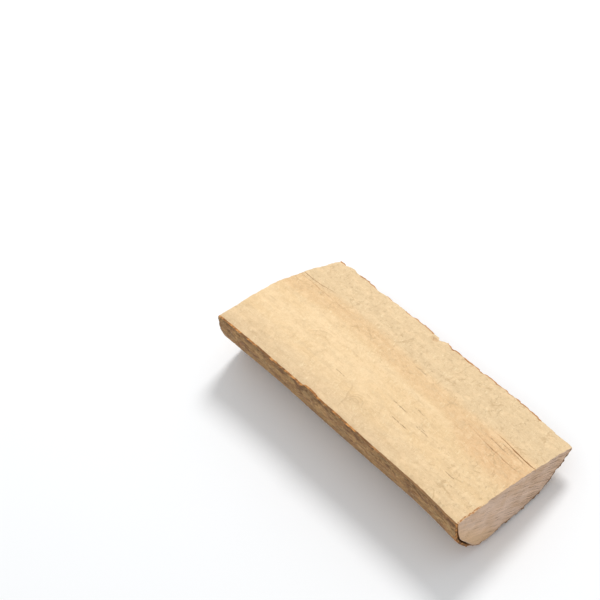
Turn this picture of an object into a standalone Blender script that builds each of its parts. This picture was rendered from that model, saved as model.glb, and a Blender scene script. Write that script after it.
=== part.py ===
"""Split log: half of a short round of trunk, split along the grain for firewood.

The log lies bark side down with its split face up. X runs along the grain, with the better
sawn end at +X; Y runs across the split face; Z is up. The origin is at the middle of the
log's footprint, at floor level. Metres and degrees.

The trunk starts as a round bar, which is shaped by functions of the angle round it and of the
place along it. It is then cut as a real log is: split along its length, sawn at both ends,
and opened by the cracks of drying wood.
"""
import math

import bmesh
import bpy
from mathutils import Matrix

# ---------------------------------------------------------------- driving dimensions
TRUNK_RADII = (0.086, 0.086, 0.080, 0.078, 0.078, 0.068,
               0.0765, 0.0815, 0.0845, 0.067, 0.068, 0.073)   # every 30 degrees, +Y to +Z
TRUNK_AXIS_HEIGHT = 0.020     # the trunk's axis above the edges of the split face
SWEEP = 0.0052                # sideways bow of the trunk, towards +Y at mid length
BELLY_HEIGHT = 0.0025         # swelling of the underside's -Y corner at mid length
BELLY_ANGLE = 222.0           # and its place round the trunk
BARK_RIB_HEIGHT = 0.0007      # broad ribs of the bark, above and below the mean surface
BARK_RIB_COUNT = 11           # ribs round the whole trunk

NEAR_END_X = 0.165            # where the saw cuts cross the middle of the log
FAR_END_X = -0.171
NEAR_CUT_TURN = 2.0           # direction that each saw cut faces, turned from +X about Z
FAR_CUT_TURN = 181.6
FAR_SECOND_CUT_TURN = 173.7   # the far end was sawn from two sides, which met off square

FACE_WIDTH = 0.152
CROWN_HEIGHT = 0.0042         # the split face is proud of its two edges along its middle
FAR_CROWN_RISE = 0.0018       # and a little more so at the far end
FACE_WAVE_HEIGHT = 0.0006     # slow waves along the split face

RESTING_ROLL = 14.1           # turn about X that lays the flat of the underside on the floor

# Drying cracks that open at the near end: inner x, y at the inner end, y at the sawn end,
# width at the sawn end, depth.
DRYING_CRACKS = (
    (0.109, 0.0317, 0.0282, 0.0014, 0.007),
    (0.085, 0.0185, 0.0128, 0.0008, 0.004),
)
CRACK_TIP_WIDTH = 0.0003

# ---------------------------------------------------------------- fineness of the mesh
TRUNK_SIDES = 64
TRUNK_RINGS = 30
FACE_ROWS = 27
FACE_COLUMNS = 17
CUT_MARGIN = 0.030            # how far the bar and the cutters run past the finished log
SHARP_EDGE_ANGLE = 35.0

BARK_COLOUR = (0.26, 0.16, 0.09, 1.0)
WOOD_COLOUR = (0.86, 0.63, 0.37, 1.0)
BARK, WOOD = 0, 1             # the log's two material slots


# ---------------------------------------------------------------- shape of the tree
def trunk_radius(angle):
    """Radius at an angle round the trunk: a smooth closed curve through TRUNK_RADII."""
    count = len(TRUNK_RADII)
    position = (angle % math.tau) / math.tau * count
    first = int(position)
    part = position - first
    before, start, end, after = (TRUNK_RADII[(first + step) % count] for step in (-1, 0, 1, 2))
    cubic = 3.0 * (start - end) + after - before
    square = 2.0 * before - 5.0 * start + 4.0 * end - after
    return start + 0.5 * part * (end - before + part * (square + part * cubic))


def mid_length(x):
    """1 halfway along the log, falling to 0 at its ends."""
    half_length = 0.5 * (NEAR_END_X - FAR_END_X)
    return 1.0 - (x / half_length) ** 2


def belly(angle, x):
    """Height of the swelling on the underside's -Y corner."""
    away = angle - math.radians(BELLY_ANGLE)
    return BELLY_HEIGHT * mid_length(x) * max(math.cos(away), 0.0) ** 8


def bark_rib(angle, x):
    """Height of the bark's broad ribs, which wander slowly along the trunk."""
    wander = 1.5 * math.cos(19.0 * x)
    return BARK_RIB_HEIGHT * math.sin(BARK_RIB_COUNT * angle + wander)


def split_height(x, y):
    """Height of the split face above the line between its two long edges."""
    across = 1.0 - (y / (0.5 * FACE_WIDTH)) ** 2
    towards_far_end = min(max((-x - 0.05) / 0.12, 0.0), 1.0)
    crown = (CROWN_HEIGHT + FAR_CROWN_RISE * towards_far_end ** 2) * across
    wave = FACE_WAVE_HEIGHT * math.sin(41.0 * x + 60.0 * y) * math.cos(95.0 * y - 9.0 * x)
    return crown + wave


# ---------------------------------------------------------------- Blender helpers
def clear_scene():
    for item in list(bpy.data.objects):
        bpy.data.objects.remove(item, do_unlink=True)


def new_collection(name):
    collection = bpy.data.collections.new(name)
    bpy.context.scene.collection.children.link(collection)
    return collection


def new_object(name, shape, slot, collection):
    """Make an object in a collection from a bmesh, which is used up, all of one slot."""
    bmesh.ops.recalc_face_normals(shape, faces=shape.faces)
    for face in shape.faces:
        face.material_index = slot
    mesh = bpy.data.meshes.new(name)
    shape.to_mesh(mesh)
    shape.free()
    mesh.materials.append(bpy.data.materials["bark"])
    mesh.materials.append(bpy.data.materials["wood"])
    item = bpy.data.objects.new(name, mesh)
    collection.objects.link(item)
    return item


def new_cutter(name, shape, collection):
    """A cutter is wood all over, so that what it cuts open shows wood."""
    cutter = new_object(name, shape, WOOD, collection)
    cutter.hide_render = True
    cutter.display_type = "WIRE"
    return cutter


def cut(item, cutter):
    boolean = item.modifiers.new(cutter.name, "BOOLEAN")
    boolean.operation = "DIFFERENCE"
    boolean.solver = "EXACT"
    boolean.object = cutter


def plain_material(name, colour, roughness):
    material = bpy.data.materials.new(name)
    material.use_nodes = True
    shader = material.node_tree.nodes["Principled BSDF"]
    shader.inputs["Base Color"].default_value = colour
    shader.inputs["Roughness"].default_value = roughness
    shader.inputs["Metallic"].default_value = 0.0


# ---------------------------------------------------------------- the trunk
def build_trunk(collection):
    """A round bar along X, cut into rings and then shaped as the trunk was."""
    length = NEAR_END_X - FAR_END_X + 2.0 * CUT_MARGIN
    middle = 0.5 * (NEAR_END_X + FAR_END_X)
    lay_down = Matrix.Translation((middle, 0.0, 0.0)) @ Matrix.Rotation(math.pi / 2, 4, "Y")
    shape = bmesh.new()
    bmesh.ops.create_cone(shape, cap_ends=True, segments=TRUNK_SIDES, radius1=1.0,
                          radius2=1.0, depth=length, matrix=lay_down)
    for ring in range(1, TRUNK_RINGS):
        station = middle + length * (ring / TRUNK_RINGS - 0.5)
        everything = shape.verts[:] + shape.edges[:] + shape.faces[:]
        bmesh.ops.bisect_plane(shape, geom=everything, plane_co=(station, 0.0, 0.0),
                               plane_no=(1.0, 0.0, 0.0))
    for point in shape.verts:
        x, side, height = point.co
        angle = math.atan2(height, side)
        radius = trunk_radius(angle) + bark_rib(angle, x) + belly(angle, x)
        point.co.y = radius * math.cos(angle) + SWEEP * mid_length(x)
        point.co.z = radius * math.sin(angle) + TRUNK_AXIS_HEIGHT
    return new_object("split_log", shape, BARK, collection)


# ---------------------------------------------------------------- the cuts
def split_cutter(collection):
    """Everything above the split face: a wavy sheet, drawn up into a block."""
    length = NEAR_END_X - FAR_END_X + 3.0 * CUT_MARGIN
    width = FACE_WIDTH + 2.0 * CUT_MARGIN
    middle = 0.5 * (NEAR_END_X + FAR_END_X)
    place = Matrix.Translation((middle, 0.0, 0.0)) @ Matrix.Diagonal((length, width, 1.0, 1.0))
    shape = bmesh.new()
    bmesh.ops.create_grid(shape, x_segments=FACE_ROWS, y_segments=FACE_COLUMNS, size=0.5,
                          matrix=place)
    for point in shape.verts:
        point.co.z = split_height(point.co.x, point.co.y)
    raised = bmesh.ops.extrude_face_region(shape, geom=shape.faces[:])["geom"]
    block_top = 2.0 * max(TRUNK_RADII)
    for point in raised:
        if isinstance(point, bmesh.types.BMVert):
            point.co.z = block_top
    return new_cutter("split_cut", shape, collection)


def saw_cutter(name, x, turn, collection):
    """A block that takes off everything past x, along a plane turned about Z."""
    size = 4.0 * max(TRUNK_RADII)
    place = Matrix.Translation((x, 0.0, 0.0)) @ Matrix.Rotation(math.radians(turn), 4, "Z")
    shape = bmesh.new()
    bmesh.ops.create_cube(shape, size=size,
                          matrix=place @ Matrix.Translation((0.5 * size, 0.0, 0.0)))
    return new_cutter(name, shape, collection)


def crack_cutter(name, crack, collection):
    """A wedge that is widest and deepest at the sawn end and closes along the grain."""
    inner_x, inner_y, outer_y, width, depth = crack
    top = CROWN_HEIGHT + 0.010
    shape = bmesh.new()
    bmesh.ops.create_cube(shape, size=2.0)
    for point in shape.verts:
        at_end = point.co.x > 0.0
        at_top = point.co.z > 0.0
        half_width = 0.5 * (width if at_end and at_top else CRACK_TIP_WIDTH)
        crack_depth = depth if at_end else 0.2 * depth
        middle_y = outer_y if at_end else inner_y
        level = split_height(inner_x, inner_y)
        point.co.x = NEAR_END_X + CUT_MARGIN if at_end else inner_x
        point.co.y = middle_y + math.copysign(half_width, point.co.y)
        point.co.z = top if at_top else level - crack_depth
    return new_cutter(name, shape, collection)


def make_cuts(log, collection):
    cut(log, split_cutter(collection))
    cut(log, saw_cutter("near_saw_cut", NEAR_END_X, NEAR_CUT_TURN, collection))
    cut(log, saw_cutter("far_saw_cut", FAR_END_X, FAR_CUT_TURN, collection))
    cut(log, saw_cutter("far_second_saw_cut", FAR_END_X, FAR_SECOND_CUT_TURN, collection))
    for number, crack in enumerate(DRYING_CRACKS, start=1):
        cut(log, crack_cutter(f"drying_crack_{number}", crack, collection))


# ---------------------------------------------------------------- finish and rest
def lay_on_floor(log):
    """Apply the cuts, roll the log onto its flat, and bring its footprint to the origin."""
    evaluated = log.evaluated_get(bpy.context.evaluated_depsgraph_get())
    mesh = bpy.data.meshes.new_from_object(evaluated)
    log.modifiers.clear()
    log.data = mesh
    mesh.transform(Matrix.Rotation(-math.radians(RESTING_ROLL), 4, "X"))
    low = [min(point.co[axis] for point in mesh.vertices) for axis in range(3)]
    high = [max(point.co[axis] for point in mesh.vertices) for axis in range(3)]
    mesh.transform(Matrix.Translation((-0.5 * (low[0] + high[0]),
                                       -0.5 * (low[1] + high[1]), -low[2])))


def shade_surfaces(log):
    """Smooth bark and a smooth split face, with sharp edges where the log was cut."""
    log.data.shade_smooth()
    log.data.set_sharp_from_angle(angle=math.radians(SHARP_EDGE_ANGLE))


def main():
    clear_scene()
    plain_material("bark", BARK_COLOUR, 0.9)
    plain_material("wood", WOOD_COLOUR, 0.75)
    parts = new_collection("split_log")
    cutters = new_collection("cutters")
    log = build_trunk(parts)
    make_cuts(log, cutters)
    lay_on_floor(log)
    shade_surfaces(log)


main()
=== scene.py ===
"""Looks of the split log: a pale split face, two sawn ends and a skin of rough bark.

The shape is worked out in the grain frame, as in the CAD: x along the grain, y across the split
face, z up from the line between the face's two long edges. Every mesh is then rolled and moved
onto the CAD log's box. Lengths are in metres, and the materials read millimetres.
"""

import math

import bmesh
import bpy
import numpy as np
from mathutils import Matrix, Vector


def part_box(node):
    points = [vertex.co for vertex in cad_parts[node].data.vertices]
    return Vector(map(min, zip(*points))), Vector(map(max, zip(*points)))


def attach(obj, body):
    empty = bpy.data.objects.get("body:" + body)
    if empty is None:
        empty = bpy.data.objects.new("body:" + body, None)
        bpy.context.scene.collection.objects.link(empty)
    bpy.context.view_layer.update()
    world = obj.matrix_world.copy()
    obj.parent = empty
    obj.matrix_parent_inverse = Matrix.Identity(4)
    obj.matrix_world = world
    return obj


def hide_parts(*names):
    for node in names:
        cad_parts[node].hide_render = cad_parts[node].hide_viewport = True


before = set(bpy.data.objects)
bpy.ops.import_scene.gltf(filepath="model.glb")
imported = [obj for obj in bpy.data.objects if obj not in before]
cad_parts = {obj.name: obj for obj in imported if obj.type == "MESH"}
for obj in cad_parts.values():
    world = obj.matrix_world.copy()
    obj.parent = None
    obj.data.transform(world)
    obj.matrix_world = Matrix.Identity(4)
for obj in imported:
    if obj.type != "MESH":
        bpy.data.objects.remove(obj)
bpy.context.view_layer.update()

# ---------------- the log's driving dimensions
TRUNK_RADII = np.array((0.086, 0.086, 0.080, 0.078, 0.078, 0.068,
                        0.0765, 0.0815, 0.0845, 0.067, 0.068, 0.073))
TRUNK_AXIS_HEIGHT = 0.020
SWEEP = 0.0052
BELLY_HEIGHT = 0.0025
BELLY_ANGLE = math.radians(222.0)
BARK_RIB_HEIGHT = 0.0007
BARK_RIB_COUNT = 11
NEAR_END_X = 0.165
FAR_END_X = -0.171
NEAR_CUT_TURN = 2.0
FAR_CUT_TURN = 1.6
FAR_SECOND_CUT_TURN = -6.3
FACE_WIDTH = 0.152
CROWN_HEIGHT = 0.0042
FAR_CROWN_RISE = 0.0018
FACE_WAVE_HEIGHT = 0.0006
TEAR_SLANT = math.radians(20.0)       # of the short tears that cross the grain of the face
SAW_SLANT = math.radians(18.0)        # of the saw's marks, down towards the +Y edge
RESTING_ROLL = math.radians(14.1)
MEAN_RADIUS = 0.078           # turns angles round the trunk into lengths of arc

THICK_BARK = 0.0023           # on the -Y side and the underside
THIN_BARK = 0.0008            # on the +Y side
BARK_GAP = 0.00015            # dark line between the bark and the wood
CLOSED_CRACK = 0.00006        # half width that a drying crack keeps where it is closed

# The near end's -Y corner: squarer than in the CAD, with bark that peels off round it.
CORNER_SWELL = 0.0017
CORNER_ANGLE = math.radians(207.0)
FLAP_GAP = 0.0015
FLAP_ANGLE = math.radians(215.0)
FLAP_LENGTH = 0.022
TORN_ANGLE = math.radians(224.0)      # middle of the flap's torn edge
LEFT_RIM_ARC = 0.2655                 # place of the bark's -Y rim along the arc

# Bark that is gone, and bark that is left, at the near end
BARE_ANGLE, BARE_HALF = math.radians(253.5), math.radians(17.5)
END_CHIPS = ((270.0, 5.0), (318.0, 6.0))    # chips left: angle and half width, in degrees

# Lines that the grain follows, as (x, y) points. The drying cracks open along the first two,
# and the third is the middle of the warm stripe of the split face.
UPPER_CRACK_LINE = ((-0.175, 0.0330), (-0.148, 0.0334), (-0.132, 0.0372), (-0.118, 0.0365),
                    (-0.060, 0.0345), (0.040, 0.0325), (0.112, 0.0296), (0.130, 0.0286),
                    (0.139, 0.0268), (0.164, 0.0256), (0.175, 0.0254))
LOWER_CRACK_LINE = ((-0.175, 0.0290), (-0.100, 0.0282), (-0.060, 0.0285), (0.000, 0.0236),
                    (0.060, 0.0188), (0.088, 0.0168), (0.118, 0.0126), (0.143, 0.0102),
                    (0.175, 0.0098))
WARM_STRIPE_LINE = ((-0.175, 0.016), (-0.140, 0.020), (-0.090, 0.027), (-0.040, 0.025),
                    (0.010, 0.021), (0.060, 0.019), (0.110, 0.010), (0.145, 0.007),
                    (0.175, 0.006))
EDGE_BULGES = (               # swellings of the +Y edge: x, half length, height
    (-0.156, 0.010, 0.0020), (-0.140, 0.032, 0.0010), (-0.096, 0.016, 0.0010),
    (-0.080, 0.013, 0.0014), (-0.052, 0.017, 0.0018),
    (-0.011, 0.006, 0.0018), (0.090, 0.030, 0.0007), (0.148, 0.040, 0.0011),
)

# ---------------- fineness of the meshes
STATIONS = 286                # steps along the grain
COLUMNS_BELOW_CRACKS = 82     # columns of the split face, from the -Y edge to the cracks
COLUMNS_BETWEEN_CRACKS = 10
COLUMNS_ABOVE_CRACKS = 42
END_ROWS = 40                 # rows of each sawn end, from the face down to the bark
BARK_COLUMNS = 168
BARK_INNER_COLUMNS = 44
NOISE_TILE = 256


# ---------------- noise and curves
def noise(u, v, seed):
    """Gradient noise in about -1..1, repeating every NOISE_TILE cells."""
    turn = np.random.default_rng(seed).uniform(0.0, math.tau, (NOISE_TILE, NOISE_TILE))
    u, v = np.broadcast_arrays(np.asarray(u, float), np.asarray(v, float))
    cell_u, cell_v = np.floor(u).astype(int), np.floor(v).astype(int)
    part_u, part_v = u - cell_u, v - cell_v
    ease_u, ease_v = ease(part_u), ease(part_v)

    def corner(step_u, step_v):
        angle = turn[(cell_u + step_u) % NOISE_TILE, (cell_v + step_v) % NOISE_TILE]
        return np.cos(angle) * (part_u - step_u) + np.sin(angle) * (part_v - step_v)

    low = corner(0, 0) * (1.0 - ease_u) + corner(1, 0) * ease_u
    high = corner(0, 1) * (1.0 - ease_u) + corner(1, 1) * ease_u
    return 1.5 * (low * (1.0 - ease_v) + high * ease_v)


def fractal(u, v, seed, octaves=4):
    total = 0.0
    for octave in range(octaves):
        total = total + noise(u * 2 ** octave, v * 2 ** octave, seed + octave) / 2 ** octave
    return total


def ease(t):
    return t * t * t * (t * (6.0 * t - 15.0) + 10.0)


def ramp(value, start, end):
    """0 before start and 1 after end, easing between; start may be the larger."""
    return ease(np.clip((value - start) / (end - start), 0.0, 1.0))


def curve_through(points, x):
    """A smooth curve through (x, y) points."""
    px, py = np.array(points).T
    slope = np.gradient(py, px)
    span = np.clip(np.searchsorted(px, x) - 1, 0, len(px) - 2)
    width = px[span + 1] - px[span]
    t = np.clip((x - px[span]) / width, 0.0, 1.0)
    start, end = py[span], py[span + 1]
    rise = 3.0 * (end - start) - width * (2.0 * slope[span] + slope[span + 1])
    bend = 2.0 * (start - end) + width * (slope[span] + slope[span + 1])
    return start + width * slope[span] * t + rise * t ** 2 + bend * t ** 3


# ---------------- shape of the tree
def trunk_radius(angle):
    """Radius at an angle round the trunk: a smooth closed curve through TRUNK_RADII."""
    count = len(TRUNK_RADII)
    position = np.mod(angle, math.tau) / math.tau * count
    first = np.floor(position).astype(int)
    part = position - first
    before, start, end, after = (TRUNK_RADII[(first + step) % count] for step in (-1, 0, 1, 2))
    cubic = 3.0 * (start - end) + after - before
    square = 2.0 * before - 5.0 * start + 4.0 * end - after
    return start + 0.5 * part * (end - before + part * (square + part * cubic))


def mid_length(x):
    """1 halfway along the log, falling to 0 at its ends."""
    half_length = 0.5 * (NEAR_END_X - FAR_END_X)
    return 1.0 - (x / half_length) ** 2


def round_about(angle, middle, outer, inner):
    """1 within inner degrees of an angle, falling to 0 at outer degrees from it."""
    return ramp(np.abs(angle - middle), math.radians(outer), math.radians(inner))


def cad_radius(angle, x):
    """The CAD log's outside, with its broad ribs and its belly."""
    rib = BARK_RIB_HEIGHT * np.sin(BARK_RIB_COUNT * angle + 1.5 * np.cos(19.0 * x))
    towards_belly = np.maximum(np.cos(angle - BELLY_ANGLE), 0.0)
    return trunk_radius(angle) + rib + BELLY_HEIGHT * mid_length(x) * towards_belly ** 8


def outer_radius(angle, x):
    """The outside that is seen: squarer than the CAD's at the near end's -Y corner."""
    swell = round_about(angle, CORNER_ANGLE, 21.0, 5.0) * ramp(x, 0.115, NEAR_END_X)
    return cad_radius(angle, x) + CORNER_SWELL * swell


def bark_thickness(angle):
    part = ramp(np.cos(angle - math.radians(210.0)), 0.3, 0.8)
    return THIN_BARK + (THICK_BARK - THIN_BARK) * part


def flap_gap(x, angle):
    """Gap that the peeling bark leaves above the wood at the near end's -Y corner."""
    towards_end = ramp(x, NEAR_END_X - FLAP_LENGTH, NEAR_END_X)
    return FLAP_GAP * towards_end * round_about(angle, FLAP_ANGLE, 27.0, 9.0)


def trunk_point(angle, x, radius):
    y = radius * np.cos(angle) + SWEEP * mid_length(x)
    return y, radius * np.sin(angle) + TRUNK_AXIS_HEIGHT


def split_height(x, y):
    """Height of the CAD's split face."""
    across = 1.0 - (y / (0.5 * FACE_WIDTH)) ** 2
    towards_far_end = np.clip((-x - 0.05) / 0.12, 0.0, 1.0)
    crown = (CROWN_HEIGHT + FAR_CROWN_RISE * towards_far_end ** 2) * across
    return crown + FACE_WAVE_HEIGHT * np.sin(41.0 * x + 60.0 * y) * np.cos(95.0 * y - 9.0 * x)


def near_cut(y):
    """x of the near saw cut, with the small nicks of its edges."""
    nicks = 0.0007 * fractal(y / 0.0060, 0.5, 15, 4)
    return NEAR_END_X - math.tan(math.radians(NEAR_CUT_TURN)) * y + nicks


def far_cut(y):
    """x of the far saw cut, which was made from two sides."""
    nicks = 0.0006 * fractal(y / 0.0065, 0.5, 16, 4)
    first = FAR_END_X - math.tan(math.radians(FAR_CUT_TURN)) * y
    second = FAR_END_X - math.tan(math.radians(FAR_SECOND_CUT_TURN)) * y
    apart = first - second
    return 0.5 * (first + second + np.sqrt(apart ** 2 + 0.0012 ** 2)) + nicks


def edge_angle(x, side, inset, rim_height):
    """Angle round the trunk where a skin, inset from the outside, meets the split face."""
    low = np.full_like(x, math.radians(side[0]))
    high = np.full_like(x, math.radians(side[1]))
    for _ in range(30):
        middle = 0.5 * (low + high)
        depth = inset * (bark_thickness(middle) + BARK_GAP)
        y, z = trunk_point(middle, x, outer_radius(middle, x) - depth)
        is_above = z > split_height(x, y) + rim_height
        high = np.where(is_above, middle, high)
        low = np.where(is_above, low, middle)
    return 0.5 * (low + high)


LEFT_SIDE = (250.0, 165.0)    # angles well below and well above the -Y edge, in degrees
RIGHT_SIDE = (-70.0, 15.0)
steps = np.linspace(0.0, 1.0, STATIONS + 1)
base_x = FAR_END_X + (NEAR_END_X - FAR_END_X) * steps


def at_station(y):
    """The x of every point of a grid of stations: each station runs from saw cut to saw cut."""
    return far_cut(y) + (near_cut(y) - far_cut(y)) * steps[:, None]


# ---------------- mesh building
class Surface:
    """Collects grids of points and their quads, each with a material and a place on the map."""

    def __init__(self):
        self.points = []
        self.count = 0
        self.faces = []
        self.face_maps = []
        self.face_slots = []
        self.fields = {}

    def add_points(self, x, y, z, **fields):
        """Adds a grid of points and returns their indices, in the grid's shape."""
        shape = np.broadcast(x, y, z).shape
        grid = np.stack([np.broadcast_to(a, shape) for a in (x, y, z)], axis=-1)
        self.points.append(grid.reshape(-1, 3))
        for name in FIELDS:
            value = np.broadcast_to(fields.get(name, 0.0), shape).reshape(-1)
            self.fields.setdefault(name, []).append(value)
        index = self.count + np.arange(grid[..., 0].size).reshape(shape)
        self.count += index.size
        return index

    def add_quads(self, index, map_u, map_v, slot):
        """Joins a grid of point indices with quads; map_u and map_v are in metres."""
        shape = index.shape
        place = np.stack([np.broadcast_to(map_u, shape), np.broadcast_to(map_v, shape)], -1)

        def corners(grid):
            ring = [grid[:-1, :-1], grid[1:, :-1], grid[1:, 1:], grid[:-1, 1:]]
            return np.stack(ring, axis=2).reshape(-1, 4, *grid.shape[2:])

        self.faces.extend(corners(index).tolist())
        self.face_maps.append(corners(place).reshape(-1, 2))
        self.face_slots.extend([slot] * (shape[0] - 1) * (shape[1] - 1))

    def add_polygon(self, index, map_u, map_v, slot):
        self.faces.append([int(i) for i in index])
        self.face_maps.append(np.stack([map_u, map_v], axis=-1))
        self.face_slots.append(slot)

    def add_strip(self, first, second, length, map_u, map_v, slot):
        """Joins two lines of points that run side by side, whatever their counts."""
        part = [np.linspace(0.0, 1.0, len(line)) for line in (first, second)]
        i, j = 0, 0
        while i < len(first) - 1 or j < len(second) - 1:
            first_is_next = j == len(second) - 1
            if i < len(first) - 1 and not first_is_next:
                first_is_next = part[0][i + 1] <= part[1][j + 1]
            if first_is_next:
                triangle = [first[i], first[i + 1], second[j]]
                u = np.array((part[0][i], part[0][i + 1], part[1][j]))
                v = np.array((0.0, 0.0, 1.0))
                i += 1
            else:
                triangle = [first[i], second[j + 1], second[j]]
                u = np.array((part[0][i], part[1][j + 1], part[1][j]))
                v = np.array((0.0, 1.0, 1.0))
                j += 1
            self.add_polygon(triangle, map_u + length * u, map_v + THICK_BARK * v, slot)


# What each point tells the materials: its place (side is the y of the split face), and how far
# it lies in a crack or fissure, on a ripple, in the warm stripe or on the bark's +Y rim, on a
# growth ring (in metres from the trunk's axis), and in a worn or torn place.
FIELDS = ("along", "across", "height", "side", "crack", "ripple", "stripe", "ring", "worn")

# Places on the texture map, in metres of surface from its lower left corner
MAP_SIZE = 0.350
MAP_MARGIN = 0.004
MAP_UNDERSIDE = 0.165
MAP_ENDS = ((0, MAP_MARGIN), (-1, 0.166))     # station of each sawn end, and its left side
MAP_END_MIDDLE = 0.078                        # from its left side to y = 0
MAP_END_BASE = 0.320
MAP_INNER_BARK = 0.240
MAP_RIGHT_RIM = 0.290
MAP_LEFT_RIM = 0.300
MAP_FAR_BARK_END = 0.312
MAP_NEAR_BARK_END = 0.322


def to_row_frame(points):
    """Rolls points from the grain frame onto the log's resting flat, at the CAD's place."""
    turned = points @ np.array(Matrix.Rotation(-RESTING_ROLL, 3, "X")).T
    return turned + ROW_OFFSET


def find_row_offset():
    """Matches the smooth outside of the log to the CAD log's box."""
    low, high = (np.array(corner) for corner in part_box("split_log"))
    left = edge_angle(base_x, LEFT_SIDE, 0.0, 0.0)
    right = edge_angle(base_x, RIGHT_SIDE, 0.0, 0.0) + math.tau
    angle = left[:, None] + (right - left)[:, None] * np.linspace(0.0, 1.0, 200)
    y, z = trunk_point(angle, base_x[:, None], cad_radius(angle, base_x[:, None]))
    points = np.stack([at_station(y), y, z], axis=-1).reshape(-1, 3)
    turned = points @ np.array(Matrix.Rotation(-RESTING_ROLL, 3, "X")).T
    offset = 0.5 * (low + high) - 0.5 * (turned.min(axis=0) + turned.max(axis=0))
    offset[2] = low[2] - turned[:, 2].min()
    return offset


ROW_OFFSET = find_row_offset()


def make_piece(name, surface, materials):
    points = to_row_frame(np.concatenate(surface.points))
    mesh = bpy.data.meshes.new(name)
    mesh.from_pydata(points.tolist(), [], surface.faces)
    mesh.polygons.foreach_set("material_index", np.array(surface.face_slots, np.int32))
    for material in materials:
        mesh.materials.append(material)
    for field, values in surface.fields.items():
        data = mesh.attributes.new(field, "FLOAT", "POINT").data
        data.foreach_set("value", np.concatenate(values).astype(np.float32))
    texture_map = mesh.uv_layers.new(name="OFBake")
    places = np.concatenate(surface.face_maps) / MAP_SIZE
    texture_map.data.foreach_set("uv", places.astype(np.float32).reshape(-1))
    shape = bmesh.new()
    shape.from_mesh(mesh)
    bmesh.ops.recalc_face_normals(shape, faces=shape.faces)
    shape.to_mesh(mesh)
    shape.free()
    mesh.shade_smooth()
    mesh.set_sharp_from_angle(angle=math.radians(50.0))
    piece = bpy.data.objects.new(name, mesh)
    bpy.context.scene.collection.objects.link(piece)
    return piece


# ---------------- the wood
def crack_opening(x):
    """Half widths and depths of the upper and the lower drying crack, along x."""
    near, far = ramp(x, 0.096, 0.142), ramp(x, -0.122, -0.148)
    swell = 0.75 + 0.5 * noise(x / 0.010, 0.5, 17)
    upper = ((0.00066 * near + 0.00028 * far) * swell, 0.0030 * near + 0.0018 * far)
    near, far = ramp(x, 0.080, 0.120) * ramp(x, 0.163, 0.148), ramp(x, -0.066, -0.150)
    lower = ((0.00022 * near + 0.00012 * far) * swell, 0.0012 * near + 0.0008 * far)
    return upper, lower


def edge_nicks(x):
    """How far the +Y edge of the wood is broken back: shallow scallops that end in nicks."""
    phase = x / 0.021 + 0.8 * noise(x / 0.040, 0.5, 18)
    part = phase - np.floor(phase)
    size = 0.55 + 0.6 * noise(np.floor(phase) * 0.37, 0.5, 19)
    scallop = 0.0020 * size * (1.0 - part) ** 4 + 0.0007 * size * part ** 8
    notch = 0.0022 * ramp(np.abs(x + 0.0195), 0.0040, 0.0008)
    bulge = sum(height * ramp(np.abs(x - middle), half, 0.1 * half)
                for middle, half, height in EDGE_BULGES)
    return scallop + 0.0005 * fractal(x / 0.006, 0.5, 20, 3) + notch - bulge


def wood_edges(x):
    """Angle and y of the two long edges of the wood, a bark's thickness inside."""
    edges = []
    for side in (LEFT_SIDE, RIGHT_SIDE):
        angle = edge_angle(x, side, 1.0, 0.0)
        inset = bark_thickness(angle) + BARK_GAP + flap_gap(x, angle)
        edges += [angle, trunk_point(angle, x, outer_radius(angle, x) - inset)[0]]
    edges[3] = edges[3] - edge_nicks(x)
    return edges


def span(start, end, count, include_end=False):
    """Columns evenly spaced between two curves, one row for each station."""
    part = np.linspace(0.0, 1.0, count + 1)
    part = part if include_end else part[:-1]
    return start[:, None] + (end - start)[:, None] * part


def face_columns(left_y, right_y):
    """y of every column of the split face, and how much of each crack's depth it takes."""
    x = base_x
    (upper_half, upper_depth), (lower_half, lower_depth) = crack_opening(x)
    upper = curve_through(UPPER_CRACK_LINE, x) + 0.0004 * noise(x / 0.009, 0.5, 11)
    lower = curve_through(LOWER_CRACK_LINE, x) + 0.0004 * noise(x / 0.011, 0.5, 12)
    upper_half = upper_half + CLOSED_CRACK
    lower_half = lower_half + CLOSED_CRACK
    parts = [span(left_y, lower - lower_half, COLUMNS_BELOW_CRACKS, True), lower[:, None],
             span(lower + lower_half, upper - upper_half, COLUMNS_BETWEEN_CRACKS, True),
             upper[:, None], span(upper + upper_half, right_y, COLUMNS_ABOVE_CRACKS, True)]
    y = np.concatenate(parts, axis=1)
    depth = np.zeros_like(y)
    depth[:, COLUMNS_BELOW_CRACKS + 1] = lower_depth
    depth[:, COLUMNS_BELOW_CRACKS + COLUMNS_BETWEEN_CRACKS + 3] = upper_depth
    return y, depth


def grain_across(y, left_y, right_y):
    """The grain's own width coordinate: it keeps its value along a fibre as the grain drifts."""
    line = curve_through(LOWER_CRACK_LINE, base_x)[:, None]
    to_left = (line - y) / (line - left_y)
    to_right = (y - line) / (right_y - line)
    reach = np.clip(np.maximum(to_left, to_right), 0.0, 1.0)
    drift = (line - line.mean()) * (1.0 - reach) + 0.5 * (left_y + right_y) * reach
    return y - drift


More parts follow.
